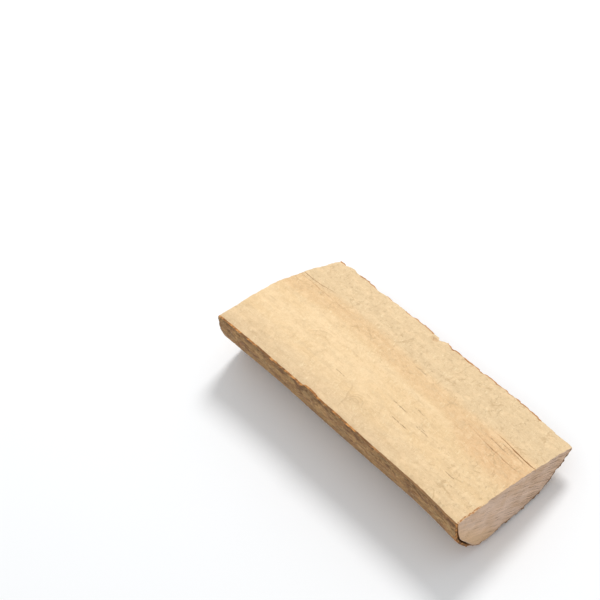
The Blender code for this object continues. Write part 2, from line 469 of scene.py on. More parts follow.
RIPPLES = (                   # shell-like marks of the split: centre x, y, radius, arc, height
    (-0.078, -0.029, 0.016, (80.0, 170.0), 0.00022),
    (-0.078, -0.029, 0.021, (70.0, 175.0), 0.00030),
    (-0.078, -0.029, 0.026, (75.0, 150.0), 0.00024),
    (-0.078, -0.029, 0.032, (60.0, 110.0), 0.00018),
    (0.001, -0.050, 0.0045, (-20.0, 250.0), 0.00040),
    (0.002, -0.050, 0.0080, (0.0, 215.0), 0.00042),
    (0.003, -0.050, 0.0115, (30.0, 180.0), 0.00026),
    (-0.072, -0.075, 0.068, (6.0, 42.0), 0.00036),
    (-0.157, -0.073, 0.050, (16.0, 37.0), 0.00026),
    (0.020, -0.110, 0.062, (62.0, 98.0), 0.00018),
    (0.118, -0.070, 0.020, (40.0, 140.0), 0.00022),
    (0.118, -0.070, 0.026, (50.0, 120.0), 0.00018),
    (-0.052, 0.052, 0.020, (-60.0, 60.0), 0.00030),
    (-0.020, 0.058, 0.018, (130.0, 235.0), 0.00025),
    (0.012, 0.062, 0.018, (-50.0, 45.0), 0.00028),
    (0.036, 0.060, 0.016, (140.0, 215.0), 0.00025),
    (0.066, 0.052, 0.020, (-40.0, 50.0), 0.00030),
    (0.098, 0.058, 0.017, (120.0, 230.0), 0.00025),
    (-0.108, 0.060, 0.020, (-40.0, 55.0), 0.00028),
    (-0.148, 0.056, 0.019, (-45.0, 60.0), 0.00025),
)


def ripple_marks(x, y):
    """Curved ridges across the grain, and how strongly each point lies on one."""
    height = np.zeros_like(x)
    wander = 0.0012 * noise(x / 0.010, y / 0.010, 31)
    for centre_x, centre_y, radius, (start, end), rise in RIPPLES:
        distance = np.hypot(x - centre_x, y - centre_y) - radius + wander
        angle = np.degrees(np.arctan2(y - centre_y, x - centre_x))
        middle, half = 0.5 * (start + end), 0.5 * (end - start)
        away = np.abs(np.mod(angle - middle + 180.0, 360.0) - 180.0)
        line = np.exp(-(distance / 0.0009) ** 2) * ramp(away, half, 0.5 * half)
        height += 1.5 * rise * line
    return height


def face_relief(x, y, across):
    """Fine height of the split face above the CAD's: fibres, waves, slanting tears, a dent."""
    fibres = 0.00009 * fractal(x / 0.045, across / 0.0026, 21, 3)
    waves = 0.00040 * fractal(x / 0.050, across / 0.018, 22, 3)
    over = x * math.cos(TEAR_SLANT) + y * math.sin(TEAR_SLANT)
    along = y * math.cos(TEAR_SLANT) - x * math.sin(TEAR_SLANT)
    tears = 0.00018 * fractal(over / 0.0034, along / 0.0100, 23, 2)
    torn = ramp(fractal(x / 0.050, across / 0.010, 24, 3), 0.15, 0.30)
    dent = ramp(np.hypot((x + 0.0190) / 0.9, y - 0.0735), 0.0065, 0.0010)
    return fibres + waves + tears - 0.00025 * torn - 0.0012 * dent


def build_wood():
    surface = Surface()
    x = base_x
    left_angle, left_y, right_angle, right_y = wood_edges(x)
    face_y, crack_depth = face_columns(left_y, right_y)
    face_x = at_station(face_y)

    # The grain's own width coordinate, so that streaks follow the drift of the grain.
    across = grain_across(face_y, left_y[:, None], right_y[:, None])

    ripple = ripple_marks(face_x, face_y)
    relief = face_relief(face_x, face_y, across) + ripple
    edge_distance = np.minimum(face_y - left_y[:, None], right_y[:, None] - face_y)
    worn = ramp(edge_distance, 0.0030, 0.0) * (0.6 + 0.4 * noise(face_x / 0.006, 0.5, 25))
    relief = relief * ramp(edge_distance, 0.0, 0.004) - 0.0007 * worn
    fringe = ramp(near_cut(face_y) - face_x, 0.0036, 0.0) * ramp(face_y, -0.030, -0.055)
    worn = np.maximum(0.55 * worn, 1.3 * fringe)
    bruise = np.hypot(0.6 * (face_x + 0.0200), face_y - 0.0752)
    worn = np.maximum(worn, 0.52 * ramp(bruise, 0.0060, 0.0015))
    face_z = split_height(face_x, face_y) + relief - crack_depth

    stripe_away = face_y - curve_through(WARM_STRIPE_LINE, face_x)
    stripe_wander = 0.003 * fractal(face_x / 0.035, face_y / 0.020, 41, 3)
    half_width = 0.018 + 0.016 * ramp(face_x, 0.060, 0.120)
    stripe = ramp(np.abs(stripe_away + stripe_wander) / half_width, 1.0, 0.2)
    face = surface.add_points(
        face_x, face_y, face_z, along=face_x, across=across, height=face_z, side=face_y,
        crack=ramp(crack_depth, 0.0, 0.0008), ripple=ripple / 0.00045, stripe=stripe, worn=worn)

    # The underside, hidden by the bark except where that has come off.
    columns = face_y.shape[1]
    part = (face_y - left_y[:, None]) / (right_y - left_y)[:, None]
    angle = left_angle[:, None] + (right_angle + math.tau - left_angle)[:, None] * part
    under_x = np.broadcast_to(x[:, None], angle.shape)
    arc = angle * MEAN_RADIUS
    bumps = 0.00025 * fractal(under_x / 0.020, arc / 0.004, 51, 3)
    nicked = edge_nicks(under_x) * ramp(part, 0.90, 1.0)
    inset = bark_thickness(angle) + BARK_GAP + nicked + flap_gap(under_x, angle)
    radius = outer_radius(angle, under_x) - inset + bumps - 0.0002
    under_y, under_z = trunk_point(angle, under_x, radius)
    under_x = at_station(under_y)
    under = surface.add_points(under_x[:, 1:-1], under_y[:, 1:-1], under_z[:, 1:-1],
                               along=under_x[:, 1:-1], across=arc[:, 1:-1])
    under = np.concatenate([face[:, :1], under, face[:, -1:]], axis=1)

    face_v = np.cumsum(np.hypot(np.diff(face_y[100]), np.diff(split_height(0.0, face_y[100]))))
    face_v = np.concatenate([[0.0], face_v])
    map_u = MAP_MARGIN + (x - FAR_END_X)[:, None] + 0.0 * face_y
    surface.add_quads(face, map_u, MAP_MARGIN + face_v[None, :] + 0.0 * face_y, 0)
    under_v = MAP_UNDERSIDE + 0.090 * np.linspace(0.0, 1.0, columns)[None, :] + 0.0 * face_y
    surface.add_quads(under, map_u, under_v, 2)

    # The sawn ends, woven between the face's end and the underside's end.
    for station, place in MAP_ENDS:
        add_sawn_end(surface, face[station], under[station], place)
    return surface


def end_relief(y, z, seed):
    """Saw marks: shallow slanting scores, a few of them deeper, and torn fibre ends."""
    over = y * math.sin(SAW_SLANT) + z * math.cos(SAW_SLANT)
    along = y * math.cos(SAW_SLANT) - z * math.sin(SAW_SLANT)
    scores = 0.00010 * noise(over / 0.0011, along / 0.040, seed)
    ledges = 0.00022 * noise(over / 0.0040, along / 0.060, seed + 1)
    torn = 0.00012 * fractal(y / 0.003, z / 0.003, seed + 2, 2)
    return scores + ledges + torn


def add_sawn_end(surface, top, bottom, map_place):
    points = np.concatenate(surface.points)
    start, end = points[top], points[bottom]
    part = np.linspace(0.0, 1.0, END_ROWS + 1)[1:-1, None]
    y = start[:, 1] + (end[:, 1] - start[:, 1]) * part
    z = start[:, 2] + (end[:, 2] - start[:, 2]) * part
    is_near = start[:, 0].mean() > 0.0
    cut_x = near_cut(y) if is_near else far_cut(y)
    inner = np.minimum(ramp(part, 0.0, 0.06), ramp(part, 1.0, 0.96))
    relief = end_relief(y, z, 61 if is_near else 71) * inner
    x = cut_x + (relief if is_near else -relief)
    # The end columns close on the long edges, where face and underside share a point.
    middle = surface.add_points(x[:, 1:-1], y[:, 1:-1], z[:, 1:-1], along=x[:, 1:-1],
                                across=y[:, 1:-1], height=z[:, 1:-1],
                                ring=ring_distance(y[:, 1:-1], z[:, 1:-1]))
    rows = np.concatenate([top[None, 1:-1], middle, bottom[None, 1:-1]])
    row_y = np.concatenate([start[None, 1:-1, 1], y[:, 1:-1], end[None, 1:-1, 1]])
    row_z = np.concatenate([start[None, 1:-1, 2], z[:, 1:-1], end[None, 1:-1, 2]])
    middle_u = map_place + MAP_END_MIDDLE
    surface.add_quads(rows, middle_u + row_y, MAP_END_BASE + row_z, 1)
    for corner in (0, -1):
        fan = np.concatenate([[top[corner]], rows[:, corner]])
        fan_y = np.concatenate([[start[corner, 1]], row_y[:, corner]])
        fan_z = np.concatenate([[start[corner, 2]], row_z[:, corner]])
        surface.add_polygon(fan, middle_u + fan_y, MAP_END_BASE + fan_z, 1)


def ring_distance(y, z):
    """Distance from the trunk's axis, as if the trunk were round: growth rings follow it."""
    angle = np.arctan2(z - TRUNK_AXIS_HEIGHT, y)
    return np.hypot(y, z - TRUNK_AXIS_HEIGHT) / trunk_radius(angle) * MEAN_RADIUS


# ---------------- the bark
def bark_missing(x, angle):
    """1 where the bark has come off: patches on the underside, and below the near end."""
    arc = angle * MEAN_RADIUS
    underside = ramp(angle, math.radians(250.0), math.radians(280.0))
    patches = fractal(x / 0.030, arc / 0.016, 81, 3) - 0.68
    chips = noise(x / 0.011, arc / 0.008, 84) - 0.56
    scattered = ramp(np.maximum(patches, chips), 0.0, 0.06) * underside
    beside = np.maximum(np.abs(angle - BARE_ANGLE) - BARE_HALF, 0.0)
    ragged = 0.006 * fractal(x / 0.010, arc / 0.006, 85, 3)
    in_from_end = np.hypot(NEAR_END_X - x, MEAN_RADIUS * beside) + ragged
    chips = sum(round_about(angle, math.radians(middle), half, 0.5 * half)
                for middle, half in END_CHIPS)
    chips = chips * ramp(x, NEAR_END_X - 0.014, NEAR_END_X - 0.009)
    return np.maximum(scattered, ramp(in_from_end, 0.0095, 0.0080)) * (1.0 - chips)


def bark_fissures(x, angle):
    """0 on the plates of the bark and 1 at the bottom of its fissures."""
    arc = angle * MEAN_RADIUS
    warp = 0.004 * fractal(x / 0.030, arc / 0.020, 91, 2)
    long = np.abs(noise(x / 0.026, (arc + warp) / 0.0060, 92))
    short = np.abs(noise((x + warp) / 0.020, arc / 0.0140, 93))
    return np.maximum(ramp(long, 0.16, 0.0), 0.5 * ramp(short, 0.06, 0.0))


def bark_rims(x):
    """Heights of the bark's two ragged rims above the split face's edges."""
    left = 0.0003 - 0.0013 * np.abs(fractal(x / 0.016, 0.5, 103, 4))
    left = left + 0.0026 * ramp(np.abs(x + 0.038), 0.013, 0.005)
    flush = fractal(x / 0.030, 0.5, 110, 2) + ramp(np.abs(x - 0.040), 0.060, 0.040)
    flush = ramp(flush, -0.45, -0.05) * ramp(x, 0.129, 0.119)
    right = -0.0013 + 0.0014 * flush - 0.0007 * np.abs(fractal(x / 0.009, 0.5, 101, 3))
    return left, right


def bark_grid(x, rims, inset, part):
    """Angles and x of a grid whose part runs from the -Y rim to the +Y rim, and its sweep."""
    left = edge_angle(x, LEFT_SIDE, inset, rims[0])
    right = edge_angle(x, RIGHT_SIDE, inset, rims[1]) + math.tau
    angle = left[:, None] + (right - left)[:, None] * part
    return angle, np.broadcast_to(x[:, None], angle.shape), (right - left).mean()


def bark_relief(x, angle, part, fissure):
    """How far the bark's skin lies inside its outside: fissures, grain, ridges and crumbs."""
    arc = angle * MEAN_RADIUS
    grain = 0.00016 * np.abs(fractal(x / 0.0040, arc / 0.0022, 106, 3))
    ridges = 0.00040 * np.abs(fractal(x / 0.018, arc / 0.0048, 108, 3))
    relief = (0.00042 * fissure + grain + ridges) * bark_thickness(angle) / THICK_BARK
    crumbs = ramp(noise(x / 0.0045, arc / 0.0035, 109), 0.15, 0.45)
    crumbs = 0.0014 * crumbs * ramp(angle, math.radians(312.0), math.radians(330.0))
    return relief - crumbs * ramp(part, 1.0, 0.94)


def torn_flap(x, angle):
    """1 where the flap's edge is torn down to the inner bark."""
    arc = angle * MEAN_RADIUS
    ragged = 0.0016 * fractal(x / 0.004, arc / 0.003, 111, 2)
    torn = ramp(NEAR_END_X - x + ragged, 0.0062, 0.0036)
    torn = torn * round_about(angle, TORN_ANGLE, 22.0, 6.0)
    return torn * ramp(fractal(x / 0.0035, arc / 0.0028, 112, 3), -0.50, 0.15)


def add_bark_outside(surface, x, rims):
    part = np.linspace(0.0, 1.0, BARK_COLUMNS + 1)
    angle, grid_x, sweep = bark_grid(x, rims, 0.0, part)
    fissure = bark_fissures(grid_x, angle)
    missing = bark_missing(grid_x, angle)
    present = outer_radius(angle, grid_x) - bark_relief(grid_x, angle, part, fissure)
    gone = outer_radius(angle, grid_x) - bark_thickness(angle) - 0.0007
    radius = present + (gone - present) * missing
    radius = radius - edge_nicks(grid_x) * ramp(part, 0.93, 1.0)
    y, z = trunk_point(angle, grid_x, radius)
    end_wear = 0.0009 * fractal(angle[:1] * MEAN_RADIUS / 0.005, 0.5, 107, 3)
    near_ramp = ramp(steps, 0.985, 1.0)[:, None]
    far_ramp = ramp(steps, 0.015, 0.0)[:, None]
    outer_x = at_station(y) + end_wear * near_ramp - end_wear * far_ramp
    torn = np.maximum(missing, torn_flap(grid_x, angle))
    outer = surface.add_points(outer_x, y, z, along=outer_x, across=angle * MEAN_RADIUS,
                               height=z, crack=fissure, worn=torn,
                               stripe=ramp(part, 0.985, 1.0))
    map_u = MAP_MARGIN + (x - FAR_END_X)[:, None] + 0.0 * y
    map_v = MAP_MARGIN + MEAN_RADIUS * sweep * part[None, :] + 0.0 * y
    surface.add_quads(outer, map_u, map_v, 0)
    return outer, MEAN_RADIUS * sweep


def add_bark_inside(surface, x, rims):
    part = np.linspace(1.0, 0.0, BARK_INNER_COLUMNS + 1)
    angle, grid_x, _ = bark_grid(x, rims, 1.0, part)
    radius = outer_radius(angle, grid_x) - bark_thickness(angle)
    radius = radius - 0.0011 * bark_missing(grid_x, angle)
    radius = radius - edge_nicks(grid_x) * ramp(part, 0.93, 1.0)
    y, z = trunk_point(angle, grid_x, radius)
    inner_x = at_station(y)
    inner = surface.add_points(inner_x, y, z, along=inner_x, across=angle * MEAN_RADIUS,
                               height=z, stripe=ramp(part, 0.97, 1.0))
    map_u = MAP_MARGIN + (x - FAR_END_X)[:, None] + 0.0 * y
    map_v = MAP_INNER_BARK + 0.040 * (1.0 - part)[None, :] + 0.0 * y
    surface.add_quads(inner, map_u, map_v, 1)
    return inner


def build_bark():
    surface = Surface()
    rims = bark_rims(base_x)
    outer, arc_length = add_bark_outside(surface, base_x, rims)
    inner = add_bark_inside(surface, base_x, rims)
    strip_u = np.repeat(MAP_MARGIN + (base_x - FAR_END_X)[:, None], 2, axis=1)
    right_rim = np.stack([outer[:, -1], inner[:, 0]], axis=1)
    left_rim = np.stack([inner[:, -1], outer[:, 0]], axis=1)
    for rim, map_v in ((right_rim, MAP_RIGHT_RIM), (left_rim, MAP_LEFT_RIM)):
        strip_v = np.array([[map_v, map_v + MAP_MARGIN]]) + 0.0 * strip_u
        surface.add_quads(rim, strip_u, strip_v, 1)
    for station, map_v in ((0, MAP_FAR_BARK_END), (-1, MAP_NEAR_BARK_END)):
        surface.add_strip(outer[station], inner[station, ::-1], arc_length, MAP_MARGIN, map_v, 1)
    return surface


# ---------------- materials
class Nodes:
    """Short names for building a material's node tree."""

    def __init__(self, name):
        self.material = bpy.data.materials.new(name)
        self.material.use_nodes = True
        self.tree = self.material.node_tree
        self.shader = self.tree.nodes["Principled BSDF"]

    def link(self, source, target):
        if isinstance(source, (int, float)):
            target.default_value = source
        elif isinstance(source, tuple):
            target.default_value = (*source, 1.0) if len(source) == 3 else source
        else:
            self.tree.links.new(source, target)

    def field(self, name):
        node = self.tree.nodes.new("ShaderNodeAttribute")
        node.attribute_name = name
        return node.outputs["Fac"]

    def math(self, operation, *values):
        node = self.tree.nodes.new("ShaderNodeMath")
        node.operation = operation
        for socket, value in zip(node.inputs, values):
            self.link(value, socket)
        return node.outputs[0]

    def times(self, first, second):
        return self.math("MULTIPLY", first, second)

    def scaled(self, value, scale, offset):
        return self.math("MULTIPLY_ADD", value, scale, offset)

    def away(self, value, centre):
        """Distance of a value from a centre."""
        return self.math("ABSOLUTE", self.math("SUBTRACT", value, centre))

    def weighted(self, *terms):
        """Sum of (value, weight) terms."""
        total = 0.0
        for value, weight in terms:
            total = self.scaled(value, weight, total)
        return total

    def turned(self, x, y, angle):
        """Two coordinates, along and across a direction turned by an angle from x."""
        first = self.scaled(x, math.cos(angle), self.times(y, math.sin(angle)))
        second = self.scaled(y, math.cos(angle), self.times(x, -math.sin(angle)))
        return first, second

    def millimetres(self, x, y, z, size):
        """A texture coordinate that runs one cell for each size, in millimetres."""
        node = self.tree.nodes.new("ShaderNodeCombineXYZ")
        for socket, source, cell in zip(node.inputs, (x, y, z), size):
            self.link(self.times(source, 1000.0 / cell), socket)
        return node.outputs[0]

    def noise(self, vector, detail=3.0, roughness=0.5):
        node = self.tree.nodes.new("ShaderNodeTexNoise")
        self.link(vector, node.inputs["Vector"])
        node.inputs["Scale"].default_value = 1.0
        node.inputs["Detail"].default_value = detail
        node.inputs["Roughness"].default_value = roughness
        return node.outputs["Fac"]

    def cell_edges(self, vector):
        """Distance to the nearest edge of a pattern of irregular cells."""
        node = self.tree.nodes.new("ShaderNodeTexVoronoi")
        node.feature = "DISTANCE_TO_EDGE"
        self.link(vector, node.inputs["Vector"])
        node.inputs["Scale"].default_value = 1.0
        node.inputs["Randomness"].default_value = 1.0
        return node.outputs["Distance"]

    def ramp(self, value, start, end, low=0.0, high=1.0):
        """Maps start..end to low..high, easing at both ends."""
        node = self.tree.nodes.new("ShaderNodeMapRange")
        node.interpolation_type = "SMOOTHSTEP"
        self.link(value, node.inputs["Value"])
        for socket, number in zip(node.inputs[1:5], (start, end, low, high)):
            socket.default_value = number
        return node.outputs["Result"]

    def mix(self, factor, first, second, blend="MIX"):
        node = self.tree.nodes.new("ShaderNodeMix")
        node.data_type = "RGBA"
        node.blend_type = blend
        self.link(factor, node.inputs["Factor"])
        self.link(first, node.inputs[6])
        self.link(second, node.inputs[7])
        return node.outputs[2]

    def lay(self, colour, mask, start, end, strength, shade):
        """Lays a shade over a colour, up to a strength, as the mask goes from start to end."""
        return self.mix(self.ramp(mask, start, end, 0.0, strength), colour, shade)

    def tone(self, colour, value, powers=(1.0, 1.0, 1.0)):
        """Multiplies a colour by a tone, raised to its own power in each channel."""
        node = self.tree.nodes.new("ShaderNodeCombineXYZ")
        for socket, power in zip(node.inputs, powers):
            self.link(self.math("POWER", value, power), socket)
        return self.mix(1.0, colour, node.outputs[0], "MULTIPLY")

    def finish(self, colour, roughness, relief, depth, specular):
        """Joins the layers to the shader; relief is bumped out by a depth in metres."""
        bump = self.tree.nodes.new("ShaderNodeBump")
        bump.inputs["Distance"].default_value = depth
        self.link(relief, bump.inputs["Height"])
        self.link(colour, self.shader.inputs["Base Color"])
        self.link(roughness, self.shader.inputs["Roughness"])
        self.link(bump.outputs["Normal"], self.shader.inputs["Normal"])
        self.shader.inputs["Specular IOR Level"].default_value = specular
        return self.material


def srgb(red, green, blue):
    """A colour given as 0..255 display values, as the linear values that shaders take."""
    def linear(value):
        part = value / 255.0
        return part / 12.92 if part <= 0.04045 else ((part + 0.055) / 1.055) ** 2.4
    return linear(red), linear(green), linear(blue)


# Colours of the split face
FACE, FACE_WARMER = srgb(230, 200, 156), srgb(225, 193, 147)
FACE_DULL = srgb(217, 189, 148)           # towards the +Y edge
FACE_PAINTED_SHADE = srgb(216, 187, 147)         # painted shade towards the -Y edge
CRACK_STREAK = srgb(196, 158, 112)        # long streaks beside the cracks
STRIPE, STRIPE_NEAR_END = srgb(217, 181, 135), srgb(220, 168, 120)
FLECK = srgb(246, 222, 178)
TEAR_LIGHT, TEAR_SHADE = srgb(247, 226, 184), srgb(198, 168, 126)
SQUIGGLE = srgb(176, 144, 102)
SPECK_LIGHT, SPECK_DARK = srgb(250, 228, 186), srgb(194, 158, 114)
BLOT_LIGHT, BLOT_DARK = srgb(240, 208, 164), srgb(208, 180, 140)
DASH = srgb(176, 134, 88)
CHECK = srgb(140, 98, 60)
RIPPLE_SHADE = srgb(192, 162, 122)
CRACK_WALL = srgb(172, 98, 46)
WORN_EDGE = srgb(172, 112, 62)
FACE_TONE_POWERS = (0.8, 1.0, 1.25)       # darker tones of the wood are also redder

# Colours of the sawn ends
END_PALE, END_DARKER = srgb(216, 188, 166), srgb(208, 176, 148)
END_LOW_CORNER = srgb(214, 178, 138)
LATE_WOOD = srgb(178, 142, 112)           # the darker part of each growth ring
SAW_SCORE = srgb(118, 92, 74)
END_CRACK = srgb(80, 48, 28)
RING_WIDTH_MM = 2.3

# Colours of the wood under the bark, of the bark and of its inner side
SAPWOOD, SAPWOOD_STAIN = srgb(206, 160, 106), srgb(170, 112, 62)
SAPWOOD_FIBRE = srgb(128, 82, 46)
BARK, BARK_DARKER = srgb(188, 148, 100), srgb(160, 122, 82)
BARK_BAND = srgb(116, 84, 64)
BARK_RUDDY, BARK_GREY = srgb(172, 122, 88), srgb(170, 148, 112)
BARK_STREAK, BARK_BLOTCH = srgb(214, 180, 132), srgb(116, 84, 58)
BARK_FISSURE = srgb(92, 64, 42)
BARK_BELOW_RIM = srgb(88, 64, 42)
BARK_TORN = srgb(180, 118, 66)
BARE_RIM = srgb(202, 142, 90)             # the bark's broken rim along the +Y edge
INNER_BARK, INNER_BARK_BLOTCH = srgb(196, 138, 80), srgb(152, 102, 60)
INNER_BARK_PATCH, INNER_BARK_FIBRE = srgb(112, 80, 52), srgb(96, 62, 38)
WEATHERED_RIM = srgb(134, 102, 70)

HAIRLINES = (                 # fine dark checks: start x, y, end x, y, width, all in mm
    (20.0, -18.8, 46.0, -19.4, 0.36), (34.0, -33.4, 60.0, -34.0, 0.42),
    (57.0, -24.0, 78.0, -24.8, 0.42), (60.0, -22.0, 72.0, -22.4, 0.32),
    (114.0, -41.6, 130.0, -42.2, 0.36), (-44.0, -33.4, -28.0, -33.8, 0.32),
    (118.0, 25.2, 158.0, 21.6, 0.40), (108.0, 21.6, 140.0, 18.4, 0.32),
    (-2.0, 31.0, 18.0, 30.6, 0.26), (40.0, -9.0, 56.0, -9.4, 0.26),
)


class FaceNodes(Nodes):
    """Nodes of the split face, with places on it that layers share."""

    def __init__(self, name):
        super().__init__(name)
        self.along, self.across = self.field("along"), self.field("across")
        self.height, self.place = self.field("height"), self.field("side")
        self.streaks = self.grain((26.0, 1.1), 4.0, 0.6)
        self.patchy = self.flat((24.0, 14.0), 3.0)

    def grain(self, cell, detail=3.0, roughness=0.5):
        """Noise in cells that follow the drift of the grain."""
        cell = cell if len(cell) == 3 else (*cell, 4.0)
        place = self.millimetres(self.along, self.across, self.height, cell)
        return self.noise(place, detail, roughness)

    def flat(self, cell, detail=3.0, roughness=0.5, layer=0.0):
        """Noise in cells that don't."""
        place = self.millimetres(self.along, self.place, layer, (*cell, 1.0))
        return self.noise(place, detail, roughness)


def face_tones(nodes):
    """Slow changes: duller towards the +Y edge, painted shade towards the -Y edge, streaked by
    the cracks, a warm stripe.
    """
    broad = nodes.grain((70.0, 14.0, 20.0), 3.0)
    colour = nodes.mix(nodes.ramp(broad, 0.35, 0.68), FACE, FACE_WARMER)
    side = nodes.scaled(broad, 0.030, nodes.place)
    colour = nodes.lay(colour, side, 0.036, 0.052, 1.0, FACE_DULL)
    # Painted shade: the -Y side of the face is darkened, more strongly towards the far end.
    painted_shade_minus_y = nodes.times(nodes.ramp(side, -0.018, -0.056),
                          nodes.ramp(nodes.along, 0.050, 0.110, 1.0, 0.4))
    colour = nodes.mix(painted_shade_minus_y, colour, FACE_PAINTED_SHADE)
    crack_mm = 1000.0 * float(curve_through(LOWER_CRACK_LINE, base_x).mean())
    beside = nodes.ramp(nodes.away(nodes.times(nodes.across, 1000.0), crack_mm), 11.0, 1.0)
    long_streaks = nodes.grain((90.0, 1.3), 4.0, 0.6)
    streaked = nodes.times(beside, nodes.ramp(long_streaks, 0.50, 0.68, 0.0, 0.55))
    colour = nodes.mix(streaked, colour, CRACK_STREAK)
    stripe = nodes.times(nodes.field("stripe"), nodes.ramp(nodes.streaks, 0.30, 0.70, 0.55, 1.0))
    colour = nodes.mix(stripe, colour, STRIPE)
    warm = nodes.times(stripe, nodes.ramp(nodes.along, 0.060, 0.120, 0.0, 0.30))
    return nodes.mix(warm, colour, STRIPE_NEAR_END)


def face_grain(nodes, colour):
    """Streaks, fibres and mottling; returns the colour and the relief."""
    fibres = nodes.grain((7.0, 0.35), 3.0, 0.6)
    mottle = nodes.grain((6.5, 4.5), 4.0, 0.6)
    worms = nodes.away(nodes.grain((5.0, 3.2), 2.0), 0.5)
    tone = nodes.times(nodes.ramp(nodes.streaks, 0.30, 0.72, 0.955, 1.03),
                       nodes.ramp(fibres, 0.30, 0.70, 0.965, 1.03))
    tone = nodes.times(tone, nodes.ramp(mottle, 0.32, 0.68, 0.96, 1.035))
    tone = nodes.times(tone, nodes.ramp(worms, 0.0, 0.05, 1.03, 0.99))
    colour = nodes.tone(colour, tone, FACE_TONE_POWERS)
    flecks = nodes.grain((1.9, 0.8), 2.0, 0.6)
    colour = nodes.lay(colour, flecks, 0.62, 0.74, 0.35, FLECK)
    relief = nodes.weighted((fibres, 0.4), (mottle, 1.0), (worms, -1.2), (nodes.streaks, 0.5))
    return colour, relief


def face_tears(nodes, colour):
    """Short slanting tears, which catch light and shade; returns the colour and the tears."""
    over, down = nodes.turned(nodes.along, nodes.place, TEAR_SLANT)
    tears = nodes.noise(nodes.millimetres(over, down, 0.0, (2.6, 8.0, 1.0)), 4.0, 0.6)
    light = nodes.times(nodes.ramp(tears, 0.54, 0.74, 0.0, 0.50),
                        nodes.ramp(nodes.patchy, 0.36, 0.60, 0.25, 1.0))
    colour = nodes.mix(light, colour, TEAR_LIGHT)
    shade = nodes.times(nodes.ramp(tears, 0.42, 0.28, 0.0, 0.36),
                        nodes.ramp(nodes.place, -0.010, 0.030, 0.55, 1.0))
    return nodes.mix(shade, colour, TEAR_SHADE), tears


def face_squiggles(nodes):
    """Thin curled marks, stronger on the +Y side and near the near end."""
    bent = nodes.scaled(nodes.flat((9.0, 9.0), 3.0), 0.016, nodes.along)
    cells = nodes.cell_edges(nodes.millimetres(bent, nodes.place, 0.0, (15.0, 26.0, 1.0)))
    long_marks = nodes.times(nodes.ramp(cells, 0.055, 0.0), nodes.ramp(nodes.patchy, 0.47, 0.62))
    bends = nodes.away(nodes.flat((5.5, 4.0), 3.0, 0.55), 0.5)
    short = nodes.flat((4.0, 4.0), 2.0, layer=3.0)
    short_marks = nodes.times(nodes.ramp(bends, 0.014, 0.002), nodes.ramp(short, 0.53, 0.60))
    strength = nodes.math("MAXIMUM", nodes.ramp(nodes.place, -0.005, 0.035, 0.22, 0.50),
                          nodes.ramp(nodes.along, 0.060, 0.120, 0.0, 0.48))
    return nodes.times(nodes.math("MAXIMUM", long_marks, short_marks), strength)


def face_spots(nodes, colour):
    """Specks, broad blots and dark dashes."""
    specks = nodes.flat((1.5, 1.1), 2.0, 0.6)
    colour = nodes.lay(colour, specks, 0.56, 0.68, 0.28, SPECK_LIGHT)
    colour = nodes.lay(colour, specks, 0.42, 0.32, 0.16, SPECK_DARK)
    blots = nodes.flat((13.0, 8.0), 3.0, 0.55, 5.0)
    colour = nodes.lay(colour, blots, 0.52, 0.66, 0.30, BLOT_LIGHT)
    colour = nodes.lay(colour, blots, 0.47, 0.34, 0.30, BLOT_DARK)
    dashes = nodes.grain((9.0, 0.45), 2.0, 0.5)
    dash_field = nodes.grain((30.0, 16.0), 2.0, 0.5)
    dark = nodes.times(nodes.ramp(dashes, 0.64, 0.74),
                       nodes.ramp(dash_field, 0.50, 0.64, 0.0, 0.55))
    return nodes.mix(dark, colour, DASH)


def hairline(nodes, along, over, line):
    """1 on a short dark check that runs nearly along the grain."""
    start_x, start_y, end_x, end_y, width = line
    slope = (end_y - start_y) / (end_x - start_x)
    centre = nodes.scaled(along, slope, start_y - slope * start_x)
    thin = nodes.ramp(nodes.away(over, centre), width, 0.1 * width)
    fade = 0.25 * (end_x - start_x)
    opening = nodes.ramp(along, start_x, start_x + fade)
    closing = nodes.ramp(along, end_x, end_x - fade)
    return nodes.times(thin, nodes.times(opening, closing))


def face_checks(nodes):
    """All the hairlines, which waver a little and are broken up."""
    along_mm = nodes.times(nodes.along, 1000.0)
    wander = nodes.scaled(nodes.grain((5.0, 40.0), 2.0), 1.6, -0.8)
    across_mm = nodes.scaled(nodes.place, 1000.0, wander)
    checks = 0.0
    for line in HAIRLINES:
        checks = nodes.math("MAXIMUM", checks, hairline(nodes, along_mm, across_mm, line))
    broken = nodes.ramp(nodes.grain((2.2, 6.0), 2.0), 0.34, 0.52)
    return nodes.times(checks, broken)


def split_wood_material():
    nodes = FaceNodes("split_wood")
    colour, relief = face_grain(nodes, face_tones(nodes))
    colour, tears = face_tears(nodes, colour)
    squiggles = face_squiggles(nodes)
    colour = nodes.mix(squiggles, colour, SQUIGGLE)
    colour = face_spots(nodes, colour)
    checks = face_checks(nodes)
    colour = nodes.mix(nodes.times(checks, 0.44), colour, CHECK)
    colour = nodes.lay(colour, nodes.field("ripple"), 0.25, 1.0, 0.40, RIPPLE_SHADE)
    colour = nodes.lay(colour, nodes.field("crack"), 0.05, 0.9, 1.0, CRACK_WALL)
    crumbs = nodes.grain((1.6, 1.6), 2.0)
    worn = nodes.times(nodes.ramp(nodes.field("worn"), 0.30, 0.85),
                       nodes.ramp(crumbs, 0.43, 0.55, 0.2, 1.0))
    colour = nodes.mix(worn, colour, WORN_EDGE)
    relief = nodes.weighted((relief, 1.0), (tears, 1.2), (squiggles, -0.8), (checks, -1.6))
    roughness = nodes.ramp(nodes.streaks, 0.3, 0.7, 0.66, 0.82)
    return nodes.finish(colour, roughness, relief, 0.00045, 0.3)


